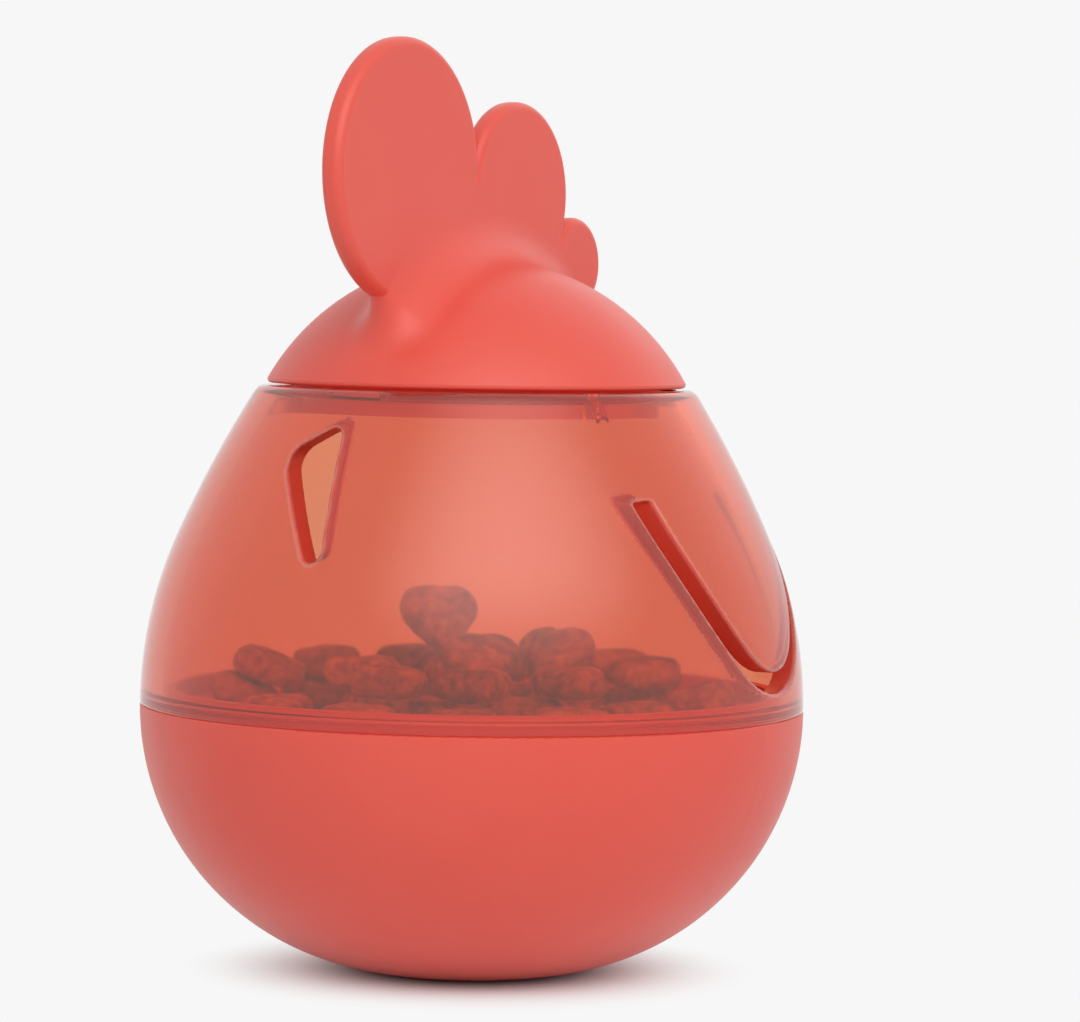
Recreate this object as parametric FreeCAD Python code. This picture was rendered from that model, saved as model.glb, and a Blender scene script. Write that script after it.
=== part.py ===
import FreeCAD, Part
import math
import os

# Treat dispenser for cats: an egg that wobbles on a weighted bowl, with a clear shell over the treats
# and a bayonet cap that carries a hen's comb. Millimetres, +Z up, origin at the middle of the foot,
# -Y towards the front edge of the comb. Directions round the egg are degrees from -Y towards +X.

V = FreeCAD.Vector

# Bowl
body_radius = 45.0          # widest radius of the egg, at the seam
seam_round = 0.25           # of the outer edges of bowl and shell where they meet
foot_radius = 9.0           # flat spot that the egg stands on
bowl_wall = 2.5
spigot_height = 2.4         # lip of the bowl inside the shell
spigot_wall = 1.5
bead_depth = 0.35           # snap bead round the spigot
bead_height = 1.0
tray_ledge_width = 1.5
tray_ledge_depth = 4.2      # from the seam down to the ledge
tray_ledge_height = 1.5
tray_snap_size = 0.7
tray_snap_angle = 12.0
tray_snap_count = 3
tray_snap_direction = 60.0

# Clear shell
shell_height = 43.2
shell_wall = 3.0
neck_step = 1.18            # how far the shell's upper edge stands out past the cap
neck_lean = 32.2            # how far its side leans in there, upright at the seam
shell_edge_round = 0.8

# Treat opening, seen from outside: a triangle with round corners, each (right, down or up, radius)
opening_direction = -5.0
opening_high = [(2.0, 4.3, 1.3), (-5.9, 8.7, 2.4)]      # down from the shell's upper edge
opening_low = (5.5, 16.5, 1.3)                          # up from the seam

# V slot, seen from outside: a small arc below and a wider arc up each arm
slot_direction = 95.0
slot_width = 2.7
slot_bottom_height = 6.6    # its upper edge over the seam
slot_bottom_radius = 10.0
slot_arm_radius = 34.0
slot_turn_angle = 47.0
slot_end_angle = 84.0

# Cap
cap_radius = 28.3
cap_lip = 0.6
cap_edge_round = 0.4
cap_wall = 2.2
dome_rise = 16.62           # from the lip to the top of the dome
cap_gap = 0.3               # running gap between cap and shell
skirt_inset = 3.6           # from the cap's edge in to the skirt
skirt_wall = 2.0
skirt_depth = 4.4

# Bayonet
lug_count = 3
lug_direction = 74.8
lug_length = 6.4
lug_reach = 1.3
lug_height = 1.9
ledge_height = 1.9
notch_spare = 1.6           # how much longer a notch is than a lug
twist_angle = 40.0
stop_width = 1.4

# Comb: three round lobes in one flat plate, as (along Y, up from the top of the dome, radius)
comb_thickness = 3.2
comb_round = 1.2
comb_lobes = [(-20.0, 11.18, 17.6), (8.8, 8.6, 12.7), (24.5, -0.7, 6.5)]
comb_front_angle = 41.5     # ends of its root on the dome, from the top of the dome
comb_back_angle = 37.0
comb_flare = 7.0            # hollow fillet between comb and dome

# Tray
tray_wall = 1.8
tray_slope = 5.9            # width of the sloping rim round the flat floor
tray_rim_height = 4.2
tray_gap = 0.3

# Weight and what holds it
weight_top = 15.0
weight_gap = 0.2
weight_edge = 1.0
weight_boss_gap = 2.3
cover_wall = 1.8
cover_gap = 3.1             # from the cover's edge to the bowl
boss_radius = 3.2
boss_inset = 4.5            # from the cover's edge in to the bosses
screw_count = 3
screw_radius = 1.2
screw_head_radius = 2.7
screw_head_height = 1.6
screw_length = 7.0
screw_gap = 0.05
screw_clearance = 0.4
recess_width = 0.7
recess_depth = 0.8

# Treats
treat_width = 10.8
treat_thickness = 4.3
treat_gap = 0.15            # between a treat and what it lies on
heap_spare = 3.05           # room round each treat in the lowest layer
heap_margin = 5.7           # from the middle of the outermost treats to the tray's slope
ring_first = (10.0, 117.0)  # direction of the first treat in each ring
ring_yaw_step = 73.0
leaning_places = (0, 6)     # in the outer ring, tipped up against the tray's rim
leaning_inset = 2.8
leaning_tilt = 18.0

# Loose treats above the rings, as (direction, distance in ring steps, layer, yaw, tilt)
loose_treats = [
    (-63.0, 2.01, 0.8, 117.0, 18.0),
    (-97.0, 1.78, 1, 100.0, 0.0),
    (-128.0, 1.62, 1, 200.0, 0.0),
    (-51.0, 1.02, 1, 60.0, 0.0),
    (-133.0, 0.53, 1, 140.0, 0.0),
    (-165.0, 1.35, 1, 10.0, 0.0),
    (163.0, 1.84, 1, 250.0, 0.0),
    (130.0, 1.83, 1, 80.0, 0.0),
    (-4.0, 1.50, 1, 330.0, 0.0),
    (32.0, 1.52, 1, 45.0, 0.0),
    (78.0, 1.38, 1, 170.0, 0.0),
    (40.0, 0.48, 1, 41.0, 35.0),
    (126.0, 0.83, 1, 10.0, 42.0),
    (-101.0, 0.48, 2, 50.0, 62.0),
]

cut_spare = 1.0             # how far a cut runs past the face that it opens

# Worked out from those
seam = body_radius - foot_radius
shell_top = seam + shell_height
neck_radius = cap_radius + neck_step
skirt_radius = cap_radius - skirt_inset
spigot_radius = body_radius - shell_wall - cap_gap
tray_radius = spigot_radius - spigot_wall - tray_gap
tray_flat_radius = tray_radius - tray_slope
ledge_top = seam - tray_ledge_depth
tray_top = ledge_top + tray_wall
bowl_centre = V(foot_radius, 0, seam)
bowl_reach = seam - bowl_wall
cap_base = shell_top + cap_gap
dome_base = cap_base + cap_lip
dome_top = dome_base + dome_rise
dome_radius = (cap_radius ** 2 + dome_rise ** 2) / (2 * dome_rise)
dome_centre = V(0, 0, dome_top - dome_radius)
cover_radius = foot_radius + math.sqrt(bowl_reach ** 2 - (seam - weight_top) ** 2) - cover_gap
boss_circle = cover_radius - boss_inset
weight_radius = boss_circle - boss_radius - weight_boss_gap
ring_step = treat_width + heap_spare
heap_radius = tray_flat_radius - heap_margin
ledge_bore = skirt_radius + cap_gap
ledge_base = shell_top - ledge_height
lug_top = ledge_base - cap_gap
lug_angle = math.degrees(lug_length / skirt_radius)


def shell_side():
    """Centres and radii of the two arcs of the shell's side, and the turn at which they meet.

    The arcs run from upright at the seam to leaning in at the neck, with tangents of equal length.
    """
    lean = math.radians(neck_lean)
    start = V(body_radius, 0, seam)
    rise = V(neck_radius, 0, shell_top) - start
    ways = V(-math.sin(lean), 0, 1 + math.cos(lean))
    square = 2 - 2 * math.cos(lean)
    tangent = (math.sqrt((rise * ways) ** 2 + square * (rise * rise)) - rise * ways) / square
    meeting = rise - ways * tangent
    turn = math.atan2(-meeting.x, meeting.z)
    belly = tangent / math.tan(turn / 2)
    shoulder = tangent / math.tan((lean - turn) / 2)
    low = start - V(belly, 0, 0)
    high = low + V(math.cos(turn), 0, math.sin(turn)) * (belly - shoulder)
    return low, belly, high, shoulder, turn


belly_centre, belly_radius, shoulder_centre, shoulder_radius, belly_turn = shell_side()


def heading(angle, radius, z=0.0):
    """Point at a direction round the egg, in degrees from -Y towards +X."""
    turn = math.radians(angle)
    return V(radius * math.sin(turn), -radius * math.cos(turn), z)


def polar(centre, radius, turn):
    """Point on a circle in the XZ plane, turn in radians from +X towards +Z."""
    return centre + V(math.cos(turn), 0, math.sin(turn)) * radius


def arc(centre, radius, start, end):
    """Arc in the XZ plane between two turns."""
    middle = polar(centre, radius, (start + end) / 2)
    return Part.Arc(polar(centre, radius, start), middle, polar(centre, radius, end)).toShape()


def shoulder_end(inset, z):
    """Turn at which the shoulder arc, moved inwards by inset, reaches the height z."""
    return math.asin((z - shoulder_centre.z) / (shoulder_radius - inset))


def lines(*points):
    """Edges through the points, each (radius, z)."""
    corners = [V(r, 0, z) for r, z in points]
    return [Part.LineSegment(a, b).toShape() for a, b in zip(corners, corners[1:])]


def turned(edges):
    """Solid of revolution about Z of a closed outline in the XZ plane."""
    wire = Part.Wire(Part.__sortEdges__(edges))
    return Part.Face(wire).revolve(V(0, 0, 0), V(0, 0, 1), 360)


def sector(r_in, r_out, z_low, z_high, direction, angle):
    """Block between two radii, centred on a direction round the egg."""
    edges = lines((r_in, z_low), (r_out, z_low), (r_out, z_high), (r_in, z_high), (r_in, z_low))
    face = Part.Face(Part.Wire(edges))
    face.rotate(V(0, 0, 0), V(0, 0, 1), direction - 90 - angle / 2)
    return face.revolve(V(0, 0, 0), V(0, 0, 1), angle)


def pushed_out(outline, direction, far):
    """Outline drawn in the XZ plane as seen from outside, pushed out through the wall."""
    face = Part.Face(outline)
    block = face.extrude(V(0, -far, 0))
    block.rotate(V(0, 0, 0), V(0, 0, 1), direction)
    return block


def rounded_outline(corners):
    """Closed outline in the XZ plane through corners (x, z, radius), each rounded."""
    points = [V(x, 0, z) for x, z, radius in corners]
    ends = []
    edges = []
    for i, (x, z, radius) in enumerate(corners):
        to_last = (points[i - 1] - points[i]).normalize()
        to_next = (points[(i + 1) % len(points)] - points[i]).normalize()
        half = to_last.getAngle(to_next) / 2
        inward = (to_last + to_next).normalize()
        centre = points[i] + inward * (radius / math.sin(half))
        start = points[i] + to_last * (radius / math.tan(half))
        end = points[i] + to_next * (radius / math.tan(half))
        edges.append(Part.Arc(start, centre - inward * radius, end).toShape())
        ends.append((start, end))
    for i, (start, end) in enumerate(ends):
        edges.append(Part.LineSegment(end, ends[(i + 1) % len(ends)][0]).toShape())
    return Part.Wire(Part.__sortEdges__(edges))


def slot_outline():
    """Outline of the V slot: two parallel runs of arcs joined by square ends."""
    low = V(0, 0, seam + slot_bottom_height + slot_bottom_radius)
    turn = math.radians(slot_turn_angle)
    end = math.radians(slot_end_angle)
    down = -math.pi / 2
    edges = []
    ends = []
    for grow in (0, slot_width):
        edges.append(arc(low, slot_bottom_radius + grow, down - turn, down + turn))
        for side in (-1, 1):
            arm = polar(low, slot_bottom_radius - slot_arm_radius, down + side * turn)
            reach = slot_arm_radius + grow
            edges.append(arc(arm, reach, down + side * turn, down + side * end))
            ends.append(polar(arm, reach, down + side * end))
    for inner, outer in zip(ends[:2], ends[2:]):
        edges.append(Part.LineSegment(inner, outer).toShape())
    return Part.Wire(Part.__sortEdges__(edges))


def wall_radius(z, inset):
    """Radius of the shell's wall at a height, moved inwards by inset."""
    reach = belly_radius - inset
    up = z - belly_centre.z
    if up < reach * math.sin(belly_turn):
        return polar(belly_centre, reach, math.asin(up / reach)).x
    return polar(shoulder_centre, shoulder_radius - inset, shoulder_end(inset, z)).x


def make_shell():
    """Clear shell: turned wall with the bayonet ledge, then the cut-outs."""
    inner_belly = belly_radius - shell_wall
    inner_shoulder = shoulder_radius - shell_wall
    rim_round = shell_top - shell_edge_round
    top_out = shoulder_end(shell_edge_round, rim_round)
    top_in = shoulder_end(shell_wall, ledge_base)
    rim_centre = polar(shoulder_centre, shoulder_radius - shell_edge_round, top_out)
    inner_rim = polar(shoulder_centre, inner_shoulder, top_in)
    inner_foot = polar(belly_centre, inner_belly, 0)
    groove_mid = seam + spigot_height / 2
    groove_half = bead_height / 2 + cap_gap
    foot_turn = math.asin(seam_round / (belly_radius - seam_round))
    foot_centre = polar(belly_centre, belly_radius - seam_round, foot_turn)
    edges = [
        arc(foot_centre, seam_round, -math.pi / 2, foot_turn),
        arc(belly_centre, belly_radius, foot_turn, belly_turn),
        arc(shoulder_centre, shoulder_radius, belly_turn, top_out),
        arc(rim_centre, shell_edge_round, top_out, math.pi / 2),
        arc(belly_centre, inner_belly, 0, belly_turn),
        arc(shoulder_centre, inner_shoulder, belly_turn, top_in),
    ]
    edges += lines((rim_centre.x, shell_top), (ledge_bore, shell_top), (ledge_bore, ledge_base),
                   (inner_rim.x, ledge_base))
    edges += lines((foot_centre.x, seam), (inner_foot.x, seam))
    shell = turned(edges)
    groove_low = (spigot_radius, groove_mid - groove_half)
    groove = lines(groove_low, (spigot_radius + bead_depth + cap_gap, groove_mid),
                   (spigot_radius, groove_mid + groove_half), groove_low)
    shell = shell.cut(turned(groove))
    notch_angle = math.degrees((lug_length + notch_spare) / skirt_radius)
    notch_radius = ledge_bore + lug_reach + cap_gap
    stop_angle = math.degrees(stop_width / skirt_radius)
    stop_low = lug_top - lug_height
    stop_radius = wall_radius(stop_low, shell_wall) + shell_wall / 2
    for i in range(lug_count):
        direction = lug_direction + i * 360 / lug_count
        notch = sector(ledge_bore - cut_spare, notch_radius, ledge_base - cut_spare,
                       shell_top + cut_spare, direction + twist_angle, notch_angle)
        shell = shell.cut(notch)
        stop_at = direction - lug_angle / 2 - stop_angle / 2 - math.degrees(cap_gap / skirt_radius)
        stop = sector(ledge_bore, stop_radius, stop_low, ledge_base, stop_at, stop_angle)
        shell = shell.fuse(stop)
    corners = [(x, shell_top - down, radius) for x, down, radius in opening_high]
    corners.append((opening_low[0], seam + opening_low[1], opening_low[2]))
    far = 2 * body_radius
    shell = shell.cut(pushed_out(rounded_outline(corners), opening_direction, far))
    return shell.cut(pushed_out(slot_outline(), slot_direction, far))


def make_bowl():
    """Bowl: turned wall with the tray ledge and spigot, then bosses and snaps."""
    rim_bore = tray_radius + tray_gap
    ledge_r = rim_bore - tray_ledge_width
    ledge_low = ledge_top - tray_ledge_height
    start = math.asin((ledge_low - (body_radius - bowl_wall - ledge_r) - seam) / bowl_reach)
    wide = polar(bowl_centre, bowl_reach, start)
    bead_mid = seam + spigot_height / 2
    bead_half = bead_height / 2
    rim_turn = -math.asin(seam_round / (seam - seam_round))
    rim_centre = polar(bowl_centre, seam - seam_round, rim_turn)
    edges = [
        arc(bowl_centre, seam, -math.pi / 2, rim_turn),
        arc(rim_centre, seam_round, rim_turn, math.pi / 2),
        arc(bowl_centre, bowl_reach, -math.pi / 2, start),
    ]
    edges += lines((foot_radius, 0), (0, 0), (0, bowl_wall), (foot_radius, bowl_wall))
    edges += lines((wide.x, wide.z), (ledge_r, ledge_low), (ledge_r, ledge_top), (rim_bore, ledge_top),
                   (rim_bore, seam + spigot_height), (spigot_radius, seam + spigot_height),
                   (spigot_radius, bead_mid + bead_half), (spigot_radius + bead_depth, bead_mid),
                   (spigot_radius, bead_mid - bead_half), (spigot_radius, seam), (rim_centre.x, seam))
    bowl = turned(edges)
    inside = turned(bowl_inside())
    for i in range(screw_count):
        foot = heading(i * 360 / screw_count, boss_circle)
        bowl = bowl.fuse(Part.makeCylinder(boss_radius, weight_top, foot).common(inside))
    for i in range(screw_count):
        foot = heading(i * 360 / screw_count, boss_circle, weight_top - screw_length)
        bowl = bowl.cut(Part.makeCylinder(screw_radius + screw_gap, screw_length + cut_spare, foot))
    snap_low = ledge_top + tray_rim_height + tray_gap
    for i in range(tray_snap_count):
        snap = sector(rim_bore - tray_snap_size, rim_bore + spigot_wall / 2, snap_low,
                      snap_low + tray_snap_size, i * 360 / tray_snap_count + tray_snap_direction,
                      tray_snap_angle)
        bowl = bowl.fuse(snap)
    return bowl.removeSplitter()


def bowl_inside():
    """Outline of the bowl's outer form up to the seam, moved in by half its wall."""
    skin = bowl_wall / 2
    edges = [arc(bowl_centre, seam - skin, -math.pi / 2, 0)]
    edges += lines((foot_radius, skin), (0, skin), (0, seam), (body_radius - skin, seam))
    return edges


def make_tray():
    """Tray: flat floor with a sloping rim of even wall, standing on the bowl's ledge."""
    rim_top = ledge_top + tray_rim_height
    slope_end = tray_radius - tray_wall
    return turned(lines((0, tray_top), (tray_flat_radius, tray_top), (slope_end, rim_top),
                        (tray_radius, rim_top), (tray_radius, ledge_top), (slope_end, ledge_top),
                        (slope_end, rim_top - tray_wall), (tray_flat_radius, ledge_top),
                        (0, ledge_top), (0, tray_top)))


def make_weight():
    """Weight: iron disc whose underside follows the bowl."""
    reach = bowl_reach - weight_gap
    side = -math.acos((weight_radius - foot_radius) / reach)
    low = bowl_wall + weight_gap
    rim = polar(bowl_centre, reach, side)
    edges = [arc(bowl_centre, reach, -math.pi / 2, side)]
    edges += lines((foot_radius, low), (0, low), (0, weight_top), (weight_radius - weight_edge, weight_top),
                   (weight_radius, weight_top - weight_edge), (weight_radius, rim.z))
    return turned(edges)


def make_cover():
    """Plate over the weight, with its screw holes."""
    cover = Part.makeCylinder(cover_radius, cover_wall, V(0, 0, weight_top))
    for i in range(screw_count):
        foot = heading(i * 360 / screw_count, boss_circle, weight_top)
        cover = cover.cut(Part.makeCylinder(screw_radius + screw_clearance, cover_wall, foot))
    return cover


def make_screw(index):
    """Pan-head screw with a cross recess."""
    seat = weight_top + cover_wall
    foot = heading(index * 360 / screw_count, boss_circle, seat)
    screw = Part.makeCylinder(screw_radius, screw_length, foot, V(0, 0, -1))
    head = Part.makeCylinder(screw_head_radius, screw_head_height, foot)
    screw = screw.fuse(head.makeChamfer(screw_head_height / 3, [head.Edges[0]])).removeSplitter()
    top = foot.z + screw_head_height
    for width, length in ((recess_width, screw_head_radius), (screw_head_radius, recess_width)):
        corner = V(foot.x - width / 2, foot.y - length / 2, top - recess_depth)
        screw = screw.cut(Part.makeBox(width, length, recess_depth, corner))
    return screw


def dome_point(x, reach, angle):
    """Point at x from the comb's plane and reach from the dome's centre, at an angle from its top to +Y."""
    return dome_centre + V(x, reach * math.sin(angle), reach * math.cos(angle))


def flare_outline(angle, half):
    """Face of the hollow fillet between comb and dome, at an angle; half of it if half is set."""
    plate = comb_thickness / 2
    centre_x = plate + comb_flare
    centre_r = math.sqrt((dome_radius + comb_flare) ** 2 - centre_x ** 2)
    share = dome_radius / (dome_radius + comb_flare)
    deep = (dome_radius - cap_wall / 2) / dome_radius
    foot = (centre_x * share, centre_r * share)
    turn = math.pi + math.atan2(centre_r, centre_x) / 2
    middle = (centre_x + comb_flare * math.cos(turn), centre_r + comb_flare * math.sin(turn))
    root = (foot[0] * deep, foot[1] * deep)

    def at(point, side=1):
        return dome_point(point[0] * side, point[1], angle)

    def run(side):
        return [Part.Arc(at((plate, centre_r), side), at(middle, side), at(foot, side)).toShape(),
                Part.LineSegment(at(foot, side), at(root, side)).toShape()]

    edges = run(1)
    if half:
        axis_top = (0, centre_r)
        axis_low = (0, root[1])
        edges.append(Part.LineSegment(at(root), at(axis_low)).toShape())
        edges.append(Part.LineSegment(at(axis_low), at(axis_top)).toShape())
        edges.append(Part.LineSegment(at(axis_top), at((plate, centre_r))).toShape())
    else:
        edges += run(-1)
        edges.append(Part.LineSegment(at(root), at(root, -1)).toShape())
        edges.append(Part.LineSegment(at((plate, centre_r), -1), at((plate, centre_r))).toShape())
    return Part.Face(Part.Wire(Part.__sortEdges__(edges)))


def make_flare():
    """Root of the comb: the fillet swept over the dome, with a round end at front and back."""
    front = -math.radians(comb_front_angle)
    back = math.radians(comb_back_angle)
    flare = flare_outline(front, False).revolve(dome_centre, V(-1, 0, 0), comb_front_angle + comb_back_angle)
    for angle, way in ((front, -1), (back, 1)):
        axis = V(0, math.sin(angle), math.cos(angle))
        flare = flare.fuse(flare_outline(angle, True).revolve(dome_centre, axis, 180 * way))
    return flare


def make_comb():
    """Comb: three round lobes with soft rims, and the web that joins them to the dome."""
    half = comb_thickness / 2
    front = -math.radians(comb_front_angle)
    back = math.radians(comb_back_angle)
    low = dome_radius - cap_wall / 2
    high = dome_radius + comb_thickness
    edges = [Part.Arc(dome_point(-half, low, front), dome_point(-half, low, 0),
                      dome_point(-half, low, back)).toShape()]
    corners = [dome_point(-half, low, back), dome_point(-half, high, back)]
    corners += [V(-half, y, dome_top + up) for y, up, radius in reversed(comb_lobes)]
    corners += [dome_point(-half, high, front), dome_point(-half, low, front)]
    edges += [Part.LineSegment(a, b).toShape() for a, b in zip(corners, corners[1:])]
    comb = Part.Face(Part.Wire(Part.__sortEdges__(edges))).extrude(V(comb_thickness, 0, 0))
    for y, up, radius in comb_lobes:
        lobe = Part.makeCylinder(radius, comb_thickness, V(-half, y, dome_top + up), V(1, 0, 0))
        rims = [e for e in lobe.Edges if e.BoundBox.XLength < 0.01]
        comb = comb.fuse(lobe.makeFillet(comb_round, rims))
    return comb


def make_cap():
    """Cap: dome, lip and skirt turned as one, with the comb and the bayonet lugs."""
    inner = dome_radius - cap_wall
    skirt_in = skirt_radius - skirt_wall
    skirt_low = cap_base - skirt_depth
    lip = math.acos(cap_radius / dome_radius)
    inside = math.acos(skirt_in / inner)
    edges = [arc(dome_centre, dome_radius, lip, math.pi / 2), arc(dome_centre, inner, inside, math.pi / 2)]
    edges += lines((0, dome_centre.z + inner), (0, dome_centre.z + dome_radius))
    edges += lines((skirt_in, polar(dome_centre, inner, inside).z), (skirt_in, skirt_low),
                   (skirt_radius, skirt_low), (skirt_radius, cap_base),
                   (cap_radius - cap_edge_round, cap_base))
    edges += lines((cap_radius, cap_base + cap_edge_round), (cap_radius, dome_base))
    corner = V(cap_radius - cap_edge_round, 0, cap_base + cap_edge_round)
    edges.append(arc(corner, cap_edge_round, -math.pi / 2, 0))
    cap = turned(edges)
    for i in range(lug_count):
        lug = sector(skirt_radius - skirt_wall / 2, skirt_radius + lug_reach, lug_top - lug_height, lug_top,
                     lug_direction + i * 360 / lug_count, lug_angle)
        cap = cap.fuse(lug)
    cap = cap.fuse(make_flare())
    return cap.fuse(make_comb()).removeSplitter()


def make_treat():
    """Heart-shaped biscuit lying flat, its middle over the origin and its underside at z = 0.

    A square stands on its corner, with a half circle on each upper side and the corner rounded off.
    """
    side = treat_width * math.sqrt(2) / (2 + math.sqrt(2))
    tip = side / 3
    point = tip * (2 - math.sqrt(2)) - side
    edges = [
        Part.LineSegment(V(tip, tip - side, 0), V(side, 0, 0)).toShape(),
        Part.Arc(V(side, 0, 0), V(side, side, 0), V(0, side, 0)).toShape(),
        Part.Arc(V(0, side, 0), V(-side, side, 0), V(-side, 0, 0)).toShape(),
        Part.LineSegment(V(-side, 0, 0), V(-tip, tip - side, 0)).toShape(),
        Part.Arc(V(-tip, tip - side, 0), V(0, point, 0), V(tip, tip - side, 0)).toShape(),
    ]
    return Part.Face(Part.Wire(edges)).extrude(V(0, 0, treat_thickness))


def laid_treat(x, y, level, yaw, tilt=0.0):
    """Treat at x, y with its lowest point on a layer of the heap, tipped back and turned."""
    treat = make_treat()
    treat.rotate(V(0, 0, 0), V(1, 0, 0), tilt)
    treat.rotate(V(0, 0, 0), V(0, 0, 1), yaw)
    low = tray_top + level * (treat_thickness + treat_gap) + treat_gap
    treat.translate(V(x, y, low - treat.BoundBox.ZMin))
    return treat


def treat_heap():
    """Every treat as (x, y, layer, yaw, tilt): rings on the tray, then the loose ones above them.

    There are as many rings as the tray has room for, and as many treats in a ring as go round it.
    """
    heap = [(0.0, 0.0, 0, ring_first[0], 0.0)]
    rings = int(heap_radius / ring_step)
    for ring in range(1, rings + 1):
        count = int(2 * math.pi * ring)
        first = ring_first[(ring - 1) % len(ring_first)]
        for i in range(count):
            direction = first + i * 360 / count
            if ring == rings and i in leaning_places:
                place = heading(direction, tray_flat_radius - leaning_inset)
                heap.append((place.x, place.y, 0, direction - 180, leaning_tilt))
            else:
                place = heading(direction, ring * ring_step)
                heap.append((place.x, place.y, 0, ring_yaw_step * i, 0.0))
    for direction, steps, layer, yaw, tilt in loose_treats:
        if steps * ring_step < heap_radius:
            place = heading(direction, steps * ring_step)
            heap.append((place.x, place.y, layer, yaw, tilt))
    return heap


nodes = {
    "cap": make_cap(),
    "shell": make_shell(),
    "bowl": make_bowl(),
    "tray": make_tray(),
    "weight": make_weight(),
    "weight_cover": make_cover(),
}
for i in range(screw_count):
    nodes["cover_screw_%d" % (i + 1)] = make_screw(i)
for i, place in enumerate(treat_heap()):
    nodes["treat_%02d" % (i + 1)] = laid_treat(*place)

os.makedirs("parts", exist_ok=True)
for name, shape in nodes.items():
    shape.exportStep("parts/%s.step" % name)
    print(name, "solids", len(shape.Solids), "valid", shape.isValid(), "volume", round(shape.Volume, 1))
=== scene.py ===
import math

import bpy
import numpy as np
from mathutils import Matrix, Vector


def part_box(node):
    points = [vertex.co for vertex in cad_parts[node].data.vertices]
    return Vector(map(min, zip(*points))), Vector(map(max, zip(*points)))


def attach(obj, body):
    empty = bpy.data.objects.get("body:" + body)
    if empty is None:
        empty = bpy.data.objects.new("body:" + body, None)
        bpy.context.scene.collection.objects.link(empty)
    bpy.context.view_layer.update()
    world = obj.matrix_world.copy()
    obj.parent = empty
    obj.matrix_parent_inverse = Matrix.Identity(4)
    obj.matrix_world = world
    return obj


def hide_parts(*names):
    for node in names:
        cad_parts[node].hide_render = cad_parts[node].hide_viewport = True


# Treat dispenser: a coral bowl, a tinted clear shell with two openings, a coral cap with a comb,
# and a heap of heart-shaped biscuits inside. Lengths in the formulas are millimetres.

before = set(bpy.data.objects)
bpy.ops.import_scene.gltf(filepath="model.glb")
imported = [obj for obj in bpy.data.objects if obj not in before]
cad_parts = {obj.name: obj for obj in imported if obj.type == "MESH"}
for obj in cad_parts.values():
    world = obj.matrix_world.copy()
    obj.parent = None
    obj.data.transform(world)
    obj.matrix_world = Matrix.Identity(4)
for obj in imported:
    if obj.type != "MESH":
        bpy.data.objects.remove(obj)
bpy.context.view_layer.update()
MM = 0.001


def corner_mm(node):
    """Lowest and highest corner of a node of the frame, in millimetres."""
    low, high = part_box(node)
    return np.array(low) / MM, np.array(high) / MM


shell_low, shell_high = corner_mm("shell")
body_radius = corner_mm("bowl")[1][:2].min()
seam = shell_low[2]
shell_top = shell_high[2]
cap_radius = corner_mm("cap")[1][0]


# Colour and shader helpers

def linear(code):
    """Linear colour of an sRGB hex code."""
    parts = np.array([int(code[i:i + 2], 16) / 255 for i in (0, 2, 4)])
    curve = np.where(parts <= 0.04045, parts / 12.92, ((parts + 0.055) / 1.055) ** 2.4)
    return (*curve.tolist(), 1.0)


def add(tree, kind, settings=None, **inputs):
    """Add a node. Settings are its own properties; an input is a value or the socket that feeds it.

    An input is called by its name with _ for each space, or by _ and its number.
    """
    node = tree.nodes.new(kind)
    for name, value in (settings or {}).items():
        setattr(node, name, value)
    for name, value in inputs.items():
        place = int(name[1:]) if name[1:].isdigit() else name.replace("_", " ")
        socket = node.inputs[place]
        if isinstance(value, bpy.types.NodeSocket):
            tree.links.new(value, socket)
        else:
            socket.default_value = value
    return node


def new_material(name):
    """Empty material and its node tree, with the output node."""
    material = bpy.data.materials.new(name)
    material.use_nodes = True
    tree = material.node_tree
    tree.nodes.clear()
    return material, tree, tree.nodes.new("ShaderNodeOutputMaterial")


def mottled(tree, place, size_mm, dark, light):
    """Colour that drifts between two hex codes in soft patches of the given size."""
    noise = add(tree, "ShaderNodeTexNoise", Vector=place, Scale=1 / (size_mm * MM), Detail=2.0)
    ramp = add(tree, "ShaderNodeValToRGB", Fac=noise.outputs["Fac"])
    for stop, at, code in zip(ramp.color_ramp.elements, (0.3, 0.7), (dark, light)):
        stop.position = at
        stop.color = linear(code)
    return ramp.outputs["Color"]


def grain(tree, place, size_mm, height_mm):
    """Normal of an even grain of the given width and height, as a mould leaves it."""
    noise = add(tree, "ShaderNodeTexNoise", Vector=place, Scale=1 / (size_mm * MM), Detail=1.0)
    return add(tree, "ShaderNodeBump", Height=noise.outputs["Fac"], Distance=height_mm * MM,
               Strength=1.0).outputs["Normal"]


def coral_abs():
    """Moulded ABS in opaque coral: satin, even, with a faint mould grain and a soft broad sheen.

    The grain is drawn at 0.35 mm, coarser than the real one, which would be too fine to show.
    """
    material, tree, out = new_material("coral_moulded_abs")
    place = add(tree, "ShaderNodeTexCoord").outputs["Object"]
    noise = add(tree, "ShaderNodeTexNoise", Vector=place, Scale=1 / (9 * MM), Detail=3.0)
    rough = add(tree, "ShaderNodeMapRange", Value=noise.outputs["Fac"], To_Min=0.36, To_Max=0.46)
    shader = add(tree, "ShaderNodeBsdfPrincipled",
                 Base_Color=mottled(tree, place, 30.0, "E65142", "E95747"),
                 Roughness=rough.outputs["Result"],
                 Normal=grain(tree, place, 0.35, 0.004),
                 IOR=1.54, Subsurface_Weight=0.12, Subsurface_Radius=(1.0, 0.25, 0.15),
                 Subsurface_Scale=2.0 * MM)
    tree.links.new(shader.outputs["BSDF"], out.inputs["Surface"])
    return material


tint_strength = 385.0           # per metre of the way through the wall
faces_followed = 5              # faces that a sight line bends at before it goes straight on


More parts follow.
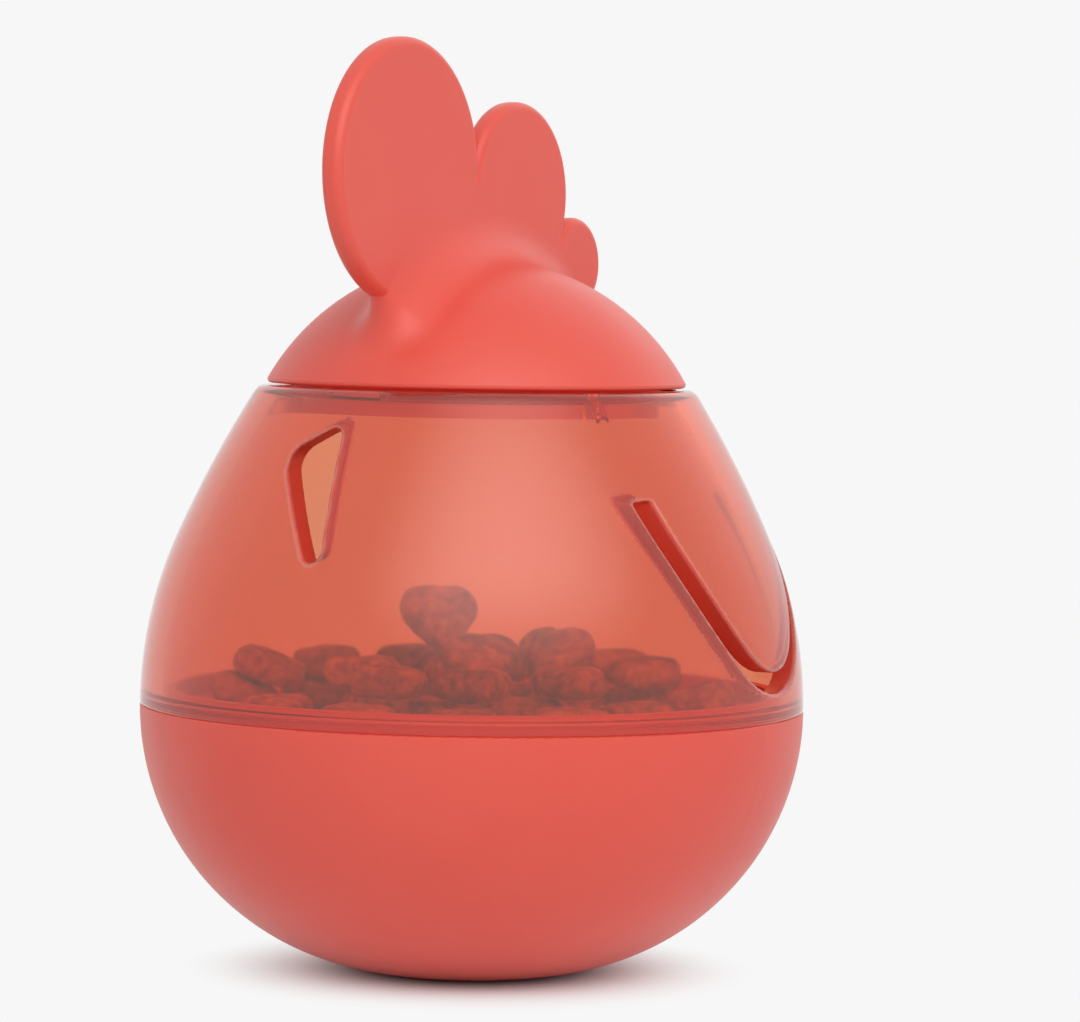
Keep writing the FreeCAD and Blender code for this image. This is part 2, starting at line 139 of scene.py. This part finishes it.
def tinted_shell():
    """Clear SAN tinted salmon: polished and slightly milky, and redder the longer the way through it.

    The edges of the two openings are less polished, and carry painted shade: a deeper red that lets less
    light through.
    Light from the lamps and the room goes straight through the wall to what is inside, and so does
    a sight line that has already met more faces than it can usefully follow.
    """
    material, tree, out = new_material("tinted_clear_san")
    place = add(tree, "ShaderNodeTexCoord").outputs["Object"]
    cut = add(tree, "ShaderNodeAttribute", {"attribute_name": "edge_rough_and_shade"}).outputs["Fac"]
    noise = add(tree, "ShaderNodeTexNoise", Vector=place, Scale=1 / (14 * MM), Detail=2.0)
    polish = add(tree, "ShaderNodeMapRange", Value=noise.outputs["Fac"], To_Min=0.045, To_Max=0.07)
    rough = add(tree, "ShaderNodeMath", {"operation": "MULTIPLY_ADD"}, _0=cut, _1=0.25,
                _2=polish.outputs["Result"])
    # Painted shade: on the edges of the openings the wall lets less light through and turns deep red
    # (D9503E).
    clear = add(tree, "ShaderNodeMapRange", Value=cut, To_Min=0.95, To_Max=0.3)
    colour = add(tree, "ShaderNodeMix", {"data_type": "RGBA"}, _0=cut, _7=linear("D9503E"),
                 _6=mottled(tree, place, 40.0, "FBCEB8", "FDD6C2"))
    wall = add(tree, "ShaderNodeBsdfPrincipled", Base_Color=colour.outputs[2],
               Roughness=rough.outputs["Value"], IOR=1.5, Transmission_Weight=clear.outputs["Result"])
    straight = add(tree, "ShaderNodeBsdfTransparent", Color=linear("FFF4F1"))
    ray = add(tree, "ShaderNodeLightPath").outputs
    lighting = add(tree, "ShaderNodeMath", {"operation": "MAXIMUM"}, _0=ray["Is Shadow Ray"],
                   _1=ray["Is Diffuse Ray"])
    spent = add(tree, "ShaderNodeMath", {"operation": "GREATER_THAN"}, _0=ray["Ray Depth"],
                _1=faces_followed + 0.5)
    passes = add(tree, "ShaderNodeMath", {"operation": "MAXIMUM"}, _0=lighting.outputs["Value"],
                 _1=spent.outputs["Value"])
    both = add(tree, "ShaderNodeMixShader", Fac=passes.outputs["Value"],
               _1=wall.outputs["BSDF"], _2=straight.outputs["BSDF"])
    tint = add(tree, "ShaderNodeVolumeAbsorption", Color=linear("F6AE73"), Density=tint_strength)
    tree.links.new(both.outputs["Shader"], out.inputs["Surface"])
    tree.links.new(tint.outputs["Volume"], out.inputs["Volume"])
    return material


def cast_iron():
    """Grey cast iron: dark, dull, pitted by the sand of its mould."""
    material, tree, out = new_material("grey_cast_iron")
    place = add(tree, "ShaderNodeTexCoord").outputs["Object"]
    shader = add(tree, "ShaderNodeBsdfPrincipled",
                 Base_Color=mottled(tree, place, 3.0, "3C3B3A", "565452"),
                 Metallic=0.9, Roughness=0.62, Normal=grain(tree, place, 0.8, 0.08))
    tree.links.new(shader.outputs["BSDF"], out.inputs["Surface"])
    return material


def black_plate():
    """Black polypropylene, moulded, with a fine leathery grain."""
    material, tree, out = new_material("black_polypropylene")
    place = add(tree, "ShaderNodeTexCoord").outputs["Object"]
    shader = add(tree, "ShaderNodeBsdfPrincipled",
                 Base_Color=mottled(tree, place, 12.0, "171717", "1F1F1F"),
                 Roughness=0.55, IOR=1.49, Normal=grain(tree, place, 0.6, 0.02))
    tree.links.new(shader.outputs["BSDF"], out.inputs["Surface"])
    return material


def zinc_steel():
    """Zinc-plated steel of small screws: bright grey with a slight tarnish."""
    material, tree, out = new_material("zinc_plated_steel")
    place = add(tree, "ShaderNodeTexCoord").outputs["Object"]
    shader = add(tree, "ShaderNodeBsdfPrincipled",
                 Base_Color=mottled(tree, place, 1.5, "A9ABAD", "C9CACB"),
                 Metallic=1.0, Roughness=0.34)
    tree.links.new(shader.outputs["BSDF"], out.inputs["Surface"])
    return material


def biscuit():
    """Baked biscuit: dry brown crumb with paler and burnt specks, small pits, and patches baked darker."""
    material, tree, out = new_material("baked_biscuit")
    place = add(tree, "ShaderNodeTexCoord").outputs["Object"]
    crumb = add(tree, "ShaderNodeTexNoise", Vector=place, Scale=1 / (1.6 * MM), Detail=5.0,
                Roughness=0.65)
    bake = add(tree, "ShaderNodeTexNoise", Vector=place, Scale=1 / (11.0 * MM), Detail=1.0)
    tone = add(tree, "ShaderNodeMath", {"operation": "MULTIPLY_ADD"}, _0=bake.outputs["Fac"],
               _1=0.9, _2=-0.45)
    both = add(tree, "ShaderNodeMath", {"operation": "ADD"}, _0=crumb.outputs["Fac"],
               _1=tone.outputs["Value"])
    ramp = add(tree, "ShaderNodeValToRGB", Fac=both.outputs["Value"])
    stops = ramp.color_ramp.elements
    stops[0].position, stops[0].color = 0.28, linear("7C3A18")
    stops[1].position, stops[1].color = 0.74, linear("E08E4C")
    middle = stops.new(0.5)
    middle.color = linear("B86434")
    pits = add(tree, "ShaderNodeTexVoronoi", Vector=place, Scale=1 / (0.9 * MM))
    rough_skin = add(tree, "ShaderNodeBump", Height=crumb.outputs["Fac"], Distance=0.4 * MM, Strength=0.7)
    pitted = add(tree, "ShaderNodeBump", Height=pits.outputs["Distance"], Distance=0.2 * MM, Strength=0.6,
                 Normal=rough_skin.outputs["Normal"])
    shader = add(tree, "ShaderNodeBsdfPrincipled", Base_Color=ramp.outputs["Color"], Roughness=0.85,
                 Specular_IOR_Level=0.25, Normal=pitted.outputs["Normal"])
    tree.links.new(shader.outputs["BSDF"], out.inputs["Surface"])
    return material


# Pieces

def finish_node(name, material):
    """Give a node of the frame its material."""
    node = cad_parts[name]
    node.data.materials.clear()
    node.data.materials.append(material)


def new_piece(name, points, faces, material, body, nodes, normals=None):
    """Mesh object from points in millimetres that rides on a body and stands for nodes of the frame."""
    mesh = bpy.data.meshes.new(name)
    mesh.from_pydata((points * MM).tolist(), [], faces)
    mesh.polygons.foreach_set("use_smooth", np.ones(len(mesh.polygons), bool))
    if normals is not None:
        mesh.normals_split_custom_set_from_vertices(normals.tolist())
    mesh.materials.append(material)
    piece = bpy.data.objects.new(name, mesh)
    bpy.context.scene.collection.objects.link(piece)
    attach(piece, body)
    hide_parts(*nodes)
    return piece


def soft_join(a, b, radius):
    """Distance to either of two forms, their hollow corner filled to a radius."""
    hollow = np.hypot(np.maximum(radius - a, 0), np.maximum(radius - b, 0))
    return np.maximum(radius, np.minimum(a, b)) - hollow


def soft_meet(a, b, radius):
    """Distance to what two forms share, the edge between them rounded to a radius."""
    edge = np.hypot(np.maximum(radius + a, 0), np.maximum(radius + b, 0))
    return np.minimum(-radius, np.maximum(a, b)) + edge


slide_limit = 0.25              # furthest that one slide moves a point
slope_floor = 0.3               # least squared slope that a slide divides by, for points on a crease


def net_surface(place, counts, distance, slides=4):
    """Closed surface where a distance formula is zero, as points, faces and normals.

    place turns lattice steps (up, round, inwards) into points, and the lattice closes round its second
    axis. Each cell that the surface passes gets one point: the mean of where its edges are crossed,
    slid down the slope of the distance onto the zero. Each crossed edge gives a face of four cells.
    """
    steps = np.stack(np.meshgrid(*[np.arange(count) for count in counts], indexing="ij"), -1)
    value = distance(place(steps))
    rings = []
    crossings = []
    inwards = []
    for axis in range(3):
        after = np.roll(value, -1, axis)
        crossed = (value < 0) != (after < 0)
        if axis != 1:
            crossed[(slice(None),) * axis + (-1,)] = False
        at = np.argwhere(crossed)
        start = value[crossed]
        point = at.astype(float)
        point[:, axis] += start / (start - after[crossed])
        cell = at[:, None] - np.roll([(0, 0, 0), (0, 1, 0), (0, 1, 1), (0, 0, 1)], axis, axis=1)
        crossings.append(point[:, None] + (cell[..., 1:2] < 0) * (0, counts[1], 0))
        cell[..., 1] %= counts[1]
        rings.append(np.ravel_multi_index(np.moveaxis(cell, -1, 0), counts))
        inwards.append(start >= 0)
    owner = np.unique(np.concatenate(rings), return_inverse=True)[1].reshape(-1, 4)
    inwards = np.concatenate(inwards)
    faces = np.where(inwards[:, None], owner[:, ::-1], owner)
    owner = owner.ravel()
    crossings = np.concatenate(crossings).reshape(-1, 3)
    share = np.bincount(owner)
    mean = np.stack([np.bincount(owner, crossings[:, axis]) / share for axis in range(3)], -1)
    points = place(mean)
    for _ in range(slides):
        slope = slope_of(distance, points)
        slide = distance(points) / np.maximum((slope ** 2).sum(1), slope_floor)
        points = points - slope * np.clip(slide, -slide_limit, slide_limit)[:, None]
    slope = slope_of(distance, points)
    return points, faces.tolist(), slope / np.linalg.norm(slope, axis=1, keepdims=True)


def slope_of(distance, points, step=0.01):
    """Slope of a distance formula, from its change over a small step each way."""
    ways = np.eye(3) * step
    return np.stack([distance(points + way) - distance(points - way) for way in ways], -1) / (2 * step)


def round_place(direction, radius, z):
    """Points at a direction round the egg, in radians from -Y towards +X."""
    return np.stack([radius * np.sin(direction), -radius * np.cos(direction), z], -1)


# Clear shell: the side is two arcs, upright at the seam and leaning in at the neck, whose tangents
# from there to where they meet are equally long
shell_wall = 3.0
neck_step = 1.18                # how far the shell's upper edge stands out past the cap
neck_lean = math.radians(32.2)
neck_radius = cap_radius + neck_step
side_rise = np.array([neck_radius - body_radius, shell_top - seam])
side_ways = np.array([-math.sin(neck_lean), 1 + math.cos(neck_lean)])
side_square = 2 - 2 * math.cos(neck_lean)
side_along = side_rise @ side_ways
side_root = math.sqrt(side_along ** 2 + side_square * (side_rise @ side_rise))
side_tangent = (side_root - side_along) / side_square
side_meeting = side_rise - side_ways * side_tangent
belly_turn = math.atan2(-side_meeting[0], side_meeting[1])
belly_radius = side_tangent / math.tan(belly_turn / 2)
shoulder_radius = side_tangent / math.tan((neck_lean - belly_turn) / 2)
belly_centre = np.array([body_radius - belly_radius, seam])
shoulder_centre = belly_centre + (belly_radius - shoulder_radius) * np.array(
    [math.cos(belly_turn), math.sin(belly_turn)])
belly_length = belly_radius * belly_turn

# Ledge inside the neck, with an entry notch and a stop for each lug of the cap's skirt
cap_gap = 0.3                   # play between the cap and the shell
skirt_inset = 3.6               # from the cap's edge in to the skirt
skirt_radius = cap_radius - skirt_inset
lug_count = 3
lug_direction = 74.8            # of the first lug, in degrees from -Y towards +X
lug_directions = [lug_direction + i * 360 / lug_count for i in range(lug_count)]
lug_length = 6.4
lug_reach = 1.3
lug_height = 1.9
twist_angle = 40.0              # from a lug's place to its notch
ledge_height = 1.9
ledge_bore = skirt_radius + cap_gap
ledge_base = shell_top - ledge_height
notch_spare = 1.6               # how much longer a notch is than a lug
notch_radius = ledge_bore + lug_reach + cap_gap
notch_length = lug_length + notch_spare
stop_length = 1.4
stop_low = ledge_base - cap_gap - lug_height
stop_back = math.degrees((lug_length / 2 + stop_length / 2 + cap_gap) / skirt_radius)

# Groove for the snap bead of the bowl's spigot
spigot_height = 2.4
groove_place = (body_radius - shell_wall - cap_gap, seam + spigot_height / 2)
groove_radius = 0.65

# Rounding of edges and hollow corners
seam_round = 0.25
rim_round = 0.8
cut_round = 0.5
ledge_round = 0.4
groove_round = 0.15
notch_round = 0.3
slot_end_round = 0.4
cut_spare = 1.0                 # how far a notch runs past the face that it opens

# Treat opening: its corners as (to the right, height, radius)
opening_direction = math.radians(-5.0)
opening_corners = [(2.0, shell_top - 4.3, 1.3), (-5.9, shell_top - 8.7, 2.4), (5.5, seam + 16.5, 1.3)]

# V slot: a small arc below, then a wider arc up each arm from slot_turn to slot_end
slot_direction = math.radians(95.0)
slot_width = 2.7
slot_bottom_height = 6.6        # its upper edge over the seam
slot_bottom_radius = 10.0
slot_bottom = seam + slot_bottom_height + slot_bottom_radius
slot_arm_radius = 34.0
slot_turn = math.radians(47.0)
slot_end = math.radians(84.0)


def opening_distance(right, up):
    """Flat distance to the treat opening: a triangle whose corners are circles that touch two sides.

    It is the largest distance to a side, and past where a corner's circle touches its two sides it
    is the distance to that circle.
    """
    corners = [np.array(corner[:2]) for corner in opening_corners]
    distance = -np.inf
    for i, corner in enumerate(corners):
        way = corners[(i + 1) % 3] - corner
        way /= np.linalg.norm(way)
        distance = np.maximum(distance, (right - corner[0]) * way[1] - (up - corner[1]) * way[0])
    for i, corner in enumerate(corners):
        ways = [other - corner for other in (corners[i - 1], corners[(i + 1) % 3])]
        ways = [way / np.linalg.norm(way) for way in ways]
        half = math.acos(ways[0] @ ways[1]) / 2
        inward = (ways[0] + ways[1]) / np.linalg.norm(ways[0] + ways[1])
        radius = opening_corners[i][2]
        centre = corner + inward * radius / math.sin(half)
        beyond = [(right - centre[0]) * way[0] + (up - centre[1]) * way[1] < 0 for way in ways]
        distance = np.where(beyond[0] & beyond[1],
                            np.hypot(right - centre[0], up - centre[1]) - radius, distance)
    return distance


def slot_distance(right, up):
    """Flat distance to the V slot: a band along a small arc below and a wider arc up each arm."""
    right = np.abs(right)
    arm = (slot_bottom_radius - slot_arm_radius) * np.array([math.sin(slot_turn), -math.cos(slot_turn)])
    arm_right = right - arm[0]
    arm_up = up - slot_bottom - arm[1]
    low = np.hypot(right, up - slot_bottom) - slot_bottom_radius
    high = np.hypot(arm_right, arm_up) - slot_arm_radius
    run = np.where(np.arctan2(right, slot_bottom - up) < slot_turn, low, high)
    band = np.abs(run - slot_width / 2) - slot_width / 2
    past_end = arm_right * math.cos(slot_end) + arm_up * math.sin(slot_end)
    return soft_meet(band, past_end, slot_end_round)


def turned_away(x, y, direction):
    """Distance round the skirt from a direction, in millimetres, whichever way is shorter."""
    turn = np.arctan2(x, -y) - math.radians(direction)
    return np.abs((turn + math.pi) % (2 * math.pi) - math.pi) * skirt_radius


def cut_distances(points):
    """Distances to the treat opening and to the V slot, each its flat outline pushed through the wall."""
    x, y, z = np.moveaxis(points, -1, 0)
    for direction, outline in ((opening_direction, opening_distance), (slot_direction, slot_distance)):
        right = x * math.cos(direction) + y * math.sin(direction)
        out = x * math.sin(direction) - y * math.cos(direction)
        yield np.maximum(outline(right, z), -out)


def shell_distance(points):
    """Distance to the clear shell: turned wall, ledge and stops, less the notches and the two openings."""
    x, y, z = np.moveaxis(points, -1, 0)
    radius = np.hypot(x, y)
    on_belly = np.arctan2(z - belly_centre[1], radius - belly_centre[0]) < belly_turn
    outside = np.where(on_belly,
                       np.hypot(radius - belly_centre[0], z - belly_centre[1]) - belly_radius,
                       np.hypot(radius - shoulder_centre[0], z - shoulder_centre[1]) - shoulder_radius)
    ledge = np.maximum(ledge_base - z, ledge_bore - radius)
    solid = soft_join(-outside - shell_wall, ledge, ledge_round)
    for direction in lug_directions:
        stop = np.maximum(stop_low - z, turned_away(x, y, direction - stop_back) - stop_length / 2)
        solid = np.minimum(solid, np.maximum(stop, ledge_bore - radius))
    groove = np.hypot(radius - groove_place[0], z - groove_place[1]) - groove_radius
    solid = soft_meet(solid, -groove, groove_round)
    skin = soft_meet(outside, z - shell_top, rim_round)
    solid = soft_meet(solid, soft_meet(skin, seam - z, seam_round), seam_round)
    for direction in lug_directions:
        notch = np.maximum(turned_away(x, y, direction + twist_angle) - notch_length / 2,
                           np.maximum(radius - notch_radius, ledge_base - cut_spare - z))
        solid = soft_meet(solid, -notch, notch_round)
    for cut in cut_distances(points):
        solid = soft_meet(solid, -cut, cut_round)
    return solid


# Lattice of the shell's net: how many steps there are up, round and inwards, how long they are, and
# how many lie below the seam and outside the face
up_steps = 96
around_steps = 480
in_steps = 16
up_step = 0.55
in_step = 0.5
steps_below = 2.5
steps_outside = 1.5
edge_fade = 0.6                 # share of the cuts' rounding over which edge_rough_and_shade falls to 0


def shell_place(steps):
    """Points of the shell's lattice: along the arcs of its side, round it and inwards from its face."""
    along = steps[..., 0] * up_step - steps_below * up_step
    depth = steps[..., 2] * in_step - steps_outside * in_step
    on_belly = along < belly_length
    turn = np.where(on_belly, along / belly_radius, belly_turn + (along - belly_length) / shoulder_radius)
    reach = np.where(on_belly, belly_radius, shoulder_radius) - depth
    centre = np.where(on_belly[..., None], belly_centre, shoulder_centre)
    direction = steps[..., 1] * 2 * math.pi / around_steps
    radius = centre[..., 0] + reach * np.cos(turn)
    return round_place(direction, radius, centre[..., 1] + reach * np.sin(turn))


def make_shell(material):
    """Clear shell with soft edges, as a net over its distance formula.

    Its attribute edge_rough_and_shade is 1 on the edges of the openings and falls to 0 a little way off them.
    """
    counts = (up_steps, around_steps, in_steps)
    points, faces, normals = net_surface(shell_place, counts, shell_distance)
    shell = new_piece("clear_shell", points, faces, material, "base", ["shell"], normals)
    # The mask where the shell's material roughens the openings' edges and paints shade on them.
    off_cut = np.min(list(cut_distances(points)), axis=0)
    edge_rough_and_shade = shell.data.attributes.new("edge_rough_and_shade", "FLOAT", "POINT")
    edge_rough_and_shade.data.foreach_set("value", np.clip((cut_round - off_cut) / (edge_fade * cut_round), 0, 1))


# Biscuits: hearts made of a square on its corner with a half circle on each upper side
treat_width = 10.8
heart_side = treat_width * math.sqrt(2) / (2 + math.sqrt(2))
heart_top = heart_side / 2 * (1 + math.sqrt(2))
treat_thickness = 4.3
heart_shrink = 0.985            # makes room for the lumps
cleft_round = 0.012             # rounds the cleft between the lobes
tip_power = 1.22                # 1 is a sharp tip, 2 a half circle
tip_shrink = 0.99
side_power = 0.42               # how square the edge is: 1 is round, 0 is square
crown_power = 0.75              # the same for its height
lump_waves = 14
lump_lengths = (1.8, 6.0)
lump_height = 0.16


def heart_axes(node):
    """Where a biscuit lies: its middle, and its right, up and thickness directions.

    The thickness is the direction in which its corners spread least. The up direction is where they
    lean out most, turned towards the side of the lobes, where the heart is wide.
    """
    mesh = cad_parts[node].data
    points = np.empty(len(mesh.vertices) * 3)
    mesh.vertices.foreach_get("co", points)
    points = np.unique(np.round(points.reshape(-1, 3) / MM, 4), axis=0)
    spread = points - points.mean(0)
    flat = np.linalg.eigh(spread.T @ spread)[1][:, 0]
    level = spread - np.outer(spread @ flat, flat)
    up = (level * (level ** 2).sum(1, keepdims=True)).sum(0)
    up /= np.linalg.norm(up)
    right = np.cross(up, flat)
    if (np.abs(level @ right) * (level @ up)).sum() < 0:
        up = -up
        right = -right
    across, height, depth = (points @ axis for axis in (right, up, flat))
    middle = (right * (across.max() + across.min()) / 2 + up * (height.max() - heart_top)
              + flat * (depth.max() + depth.min()) / 2)
    return middle, right, up, flat


def heart_points(seed, around=56, over=16):
    """Lumpy heart lying flat with its middle at the origin, and its faces.

    At an angle round it, the upper half reaches side times (|cos| + sin), the cleft rounded, and the
    lower half side over (|cos| + |sin|), its tip rounded by powers. Over the edge it follows a rounded
    box: the reach shrinks with a low power of the cosine, the height grows with one of the sine.
    Waves of a few millimetres, summed, push the skin in and out as baking does.
    """
    draw = np.random.default_rng(seed)
    turn = np.arange(around) * 2 * math.pi / around
    high = np.sqrt(np.cos(turn) ** 2 + cleft_round) + np.sin(turn)
    low = (np.abs(np.cos(turn)) ** tip_power + np.abs(np.sin(turn)) ** tip_power) ** (-1 / tip_power)
    reach = heart_side * np.where(np.sin(turn) > 0, high, low * tip_shrink)
    rise = (np.arange(1, over) / over - 0.5) * math.pi
    shrink = np.cos(rise) ** side_power
    height = np.sign(rise) * np.abs(np.sin(rise)) ** crown_power * treat_thickness / 2
    rings = np.stack([np.outer(shrink, reach * np.cos(turn)), np.outer(shrink, reach * np.sin(turn)),
                      np.repeat(height[:, None], around, 1)], -1).reshape(-1, 3)
    poles = np.array([[0, 0, -treat_thickness / 2], [0, 0, treat_thickness / 2]])
    points = np.concatenate([rings, poles]) * heart_shrink
    waves = draw.normal(size=(lump_waves, 3))
    lengths = draw.uniform(*lump_lengths, lump_waves)
    waves *= (2 * math.pi / lengths / np.linalg.norm(waves, axis=1))[:, None]
    lumps = np.sin(points @ waves.T + draw.uniform(0, 2 * math.pi, lump_waves)).mean(1)
    outward = points / np.linalg.norm(points, axis=1, keepdims=True)
    points += outward * (lumps * lump_height * math.sqrt(lump_waves))[:, None]
    ring = np.arange(around)
    start = (np.arange(over - 2) * around)[:, None]
    after = (ring + 1) % around
    quads = np.stack([start + ring, start + after, start + around + after, start + around + ring], -1)
    last = (over - 2) * around
    bottom = np.stack([after, ring, np.full(around, (over - 1) * around)], -1)
    top = np.stack([last + ring, last + after, np.full(around, (over - 1) * around + 1)], -1)
    return points, quads.reshape(-1, 4).tolist() + bottom.tolist() + top.tolist()


def make_biscuits(material):
    """A lumpy heart in the place of each treat of the frame."""
    names = sorted(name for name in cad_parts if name.startswith("treat"))
    for seed, name in enumerate(names):
        middle, right, up, flat = heart_axes(name)
        points, faces = heart_points(seed)
        new_piece(name.replace("treat", "heart"), middle + points @ np.array([right, up, flat]), faces,
                  material, "base", [name])


# Stage

def seen_ray(tree):
    """1 for a ray that sees, straight or by gloss or through the clear shell; 0 for one that lights."""
    ray = add(tree, "ShaderNodeLightPath").outputs
    seen = add(tree, "ShaderNodeMath", {"operation": "MAXIMUM"}, _0=ray["Is Camera Ray"],
               _1=ray["Is Transmission Ray"])
    return add(tree, "ShaderNodeMath", {"operation": "MAXIMUM"}, _0=seen.outputs["Value"],
               _1=ray["Is Glossy Ray"]).outputs["Value"]


board_edge = (0.012, 0.040)     # metres from the axis over which the board fades into the backdrop
floor_half = 4.0                # metres


def floor_material():
    """Pale matt board near the object; further off it has the backdrop's own even tone."""
    material, tree, out = new_material("pale_board")
    place = add(tree, "ShaderNodeTexCoord").outputs["Object"]
    length = add(tree, "ShaderNodeVectorMath", {"operation": "LENGTH"}, _0=place)
    far = add(tree, "ShaderNodeMapRange", {"interpolation_type": "SMOOTHSTEP"},
              Value=length.outputs["Value"], From_Min=board_edge[0], From_Max=board_edge[1])
    board = add(tree, "ShaderNodeBsdfDiffuse", Color=linear("F4F4F4"))
    even = add(tree, "ShaderNodeEmission", Color=linear("F7F7F7"), Strength=1.0)
    shown = add(tree, "ShaderNodeMath", {"operation": "MULTIPLY"}, _0=far.outputs["Result"],
                _1=seen_ray(tree))
    both = add(tree, "ShaderNodeMixShader", Fac=shown.outputs["Value"], _1=board.outputs["BSDF"],
               _2=even.outputs["Emission"])
    tree.links.new(both.outputs["Shader"], out.inputs["Surface"])
    return material


def make_floor():
    """Flat square floor."""
    corners = [(-floor_half, -floor_half, 0), (floor_half, -floor_half, 0),
               (floor_half, floor_half, 0), (-floor_half, floor_half, 0)]
    mesh = bpy.data.meshes.new("floor")
    mesh.from_pydata(corners, [], [(0, 1, 2, 3)])
    mesh.materials.append(floor_material())
    floor = bpy.data.objects.new("floor", mesh)
    bpy.context.scene.collection.objects.link(floor)


def make_world():
    """Even white room: lights the object, and shows as the pale backdrop to every seeing ray."""
    world = bpy.data.worlds.new("white_room")
    bpy.context.scene.world = world
    world.use_nodes = True
    tree = world.node_tree
    tree.nodes.clear()
    room = add(tree, "ShaderNodeBackground", Color=linear("FFFFFF"), Strength=0.5)
    backdrop = add(tree, "ShaderNodeBackground", Color=linear("F7F7F7"), Strength=1.0)
    both = add(tree, "ShaderNodeMixShader", Fac=seen_ray(tree), _1=room.outputs["Background"],
               _2=backdrop.outputs["Background"])
    out = tree.nodes.new("ShaderNodeOutputWorld")
    tree.links.new(both.outputs["Shader"], out.inputs["Surface"])


lamp_aim = 0.06                 # metres over the floor
middle_glow = 3.0               # against an even glow all over the lamp


def make_softbox(name, direction, height, distance, width, depth, power):
    """Oblong lamp that faces the middle of the object, in metres and watts.

    Its direction is in degrees from -Y towards +X, its height in degrees over the floor. It glows most
    in its middle and fades out to its edges, as a lamp behind cloth does.
    """
    turn = math.radians(direction)
    rise = math.radians(height)
    way = Vector((math.sin(turn) * math.cos(rise), -math.cos(turn) * math.cos(rise), math.sin(rise)))
    lamp = bpy.data.lights.new(name, "AREA")
    lamp.shape = "RECTANGLE"
    lamp.size = width
    lamp.size_y = depth
    lamp.energy = power
    lamp.use_nodes = True
    tree = lamp.node_tree
    across = add(tree, "ShaderNodeVectorMath", {"operation": "DISTANCE"}, _1=(0.5, 0.5, 0.0),
                 _0=add(tree, "ShaderNodeNewGeometry").outputs["Parametric"])
    fade = add(tree, "ShaderNodeMapRange", {"interpolation_type": "SMOOTHSTEP"},
               Value=across.outputs["Value"], From_Min=0.0, From_Max=0.5, To_Min=middle_glow, To_Max=0.0)
    tree.links.new(fade.outputs["Result"], tree.nodes["Emission"].inputs["Strength"])
    box = bpy.data.objects.new(name, lamp)
    box.rotation_mode = "QUATERNION"
    box.rotation_quaternion = way.to_track_quat("Z", "Y")
    box.location = Vector((0, 0, lamp_aim)) + way * distance
    bpy.context.scene.collection.objects.link(box)


# Camera of the photograph: where it stands and what it looks at
picture_width = 1080
camera_direction = 31.0         # degrees from -Y towards +X
camera_distance = 640.0         # from the object's axis
camera_height = 95.0
aim_height = 62.5               # where on the axis it looks
axis_pixel = 474.8              # picture column of the object's axis
pixels_per_mm = 7.38            # at the object's axis
camera_roll = 0.85              # degrees


def make_camera():
    """Camera that looks at the axis, then turns right so that the axis stands left of the middle."""
    turn = math.radians(camera_direction)
    place = Vector((math.sin(turn), -math.cos(turn), 0)) * camera_distance
    place.z = camera_height
    ahead = (Vector((0, 0, aim_height)) - place).normalized()
    right = ahead.cross(Vector((0, 0, 1))).normalized()
    up = right.cross(ahead)
    focal = pixels_per_mm * camera_distance
    yaw = Matrix.Rotation(-math.atan((picture_width / 2 - axis_pixel) / focal), 3, up)
    ahead = yaw @ ahead
    roll = Matrix.Rotation(-math.radians(camera_roll), 3, ahead)
    right = roll @ ahead.cross(up)
    up = right.cross(ahead)
    lens = bpy.data.cameras.new("camera")
    lens.sensor_fit = "HORIZONTAL"
    lens.lens = lens.sensor_width * focal / picture_width
    lens.clip_start = 0.01
    camera = bpy.data.objects.new("camera", lens)
    camera.matrix_world = Matrix.Translation(place * MM) @ Matrix((right, up, -ahead)).transposed().to_4x4()
    bpy.context.scene.collection.objects.link(camera)
    bpy.context.scene.camera = camera


coral = coral_abs()
for name in ("bowl", "tray", "cap"):
    finish_node(name, coral)
make_shell(tinted_shell())
finish_node("weight", cast_iron())
finish_node("weight_cover", black_plate())
steel = zinc_steel()
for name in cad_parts:
    if name.startswith("cover_screw"):
        finish_node(name, steel)
make_biscuits(biscuit())

make_camera()
make_world()
make_floor()
make_softbox("key", direction=46.0, height=41.0, distance=0.9, width=2.2, depth=1.25, power=7.2)
make_softbox("fill", direction=180.0, height=30.0, distance=1.1, width=2.0, depth=1.2, power=1.3)
bpy.context.scene.view_settings.view_transform = "Standard"
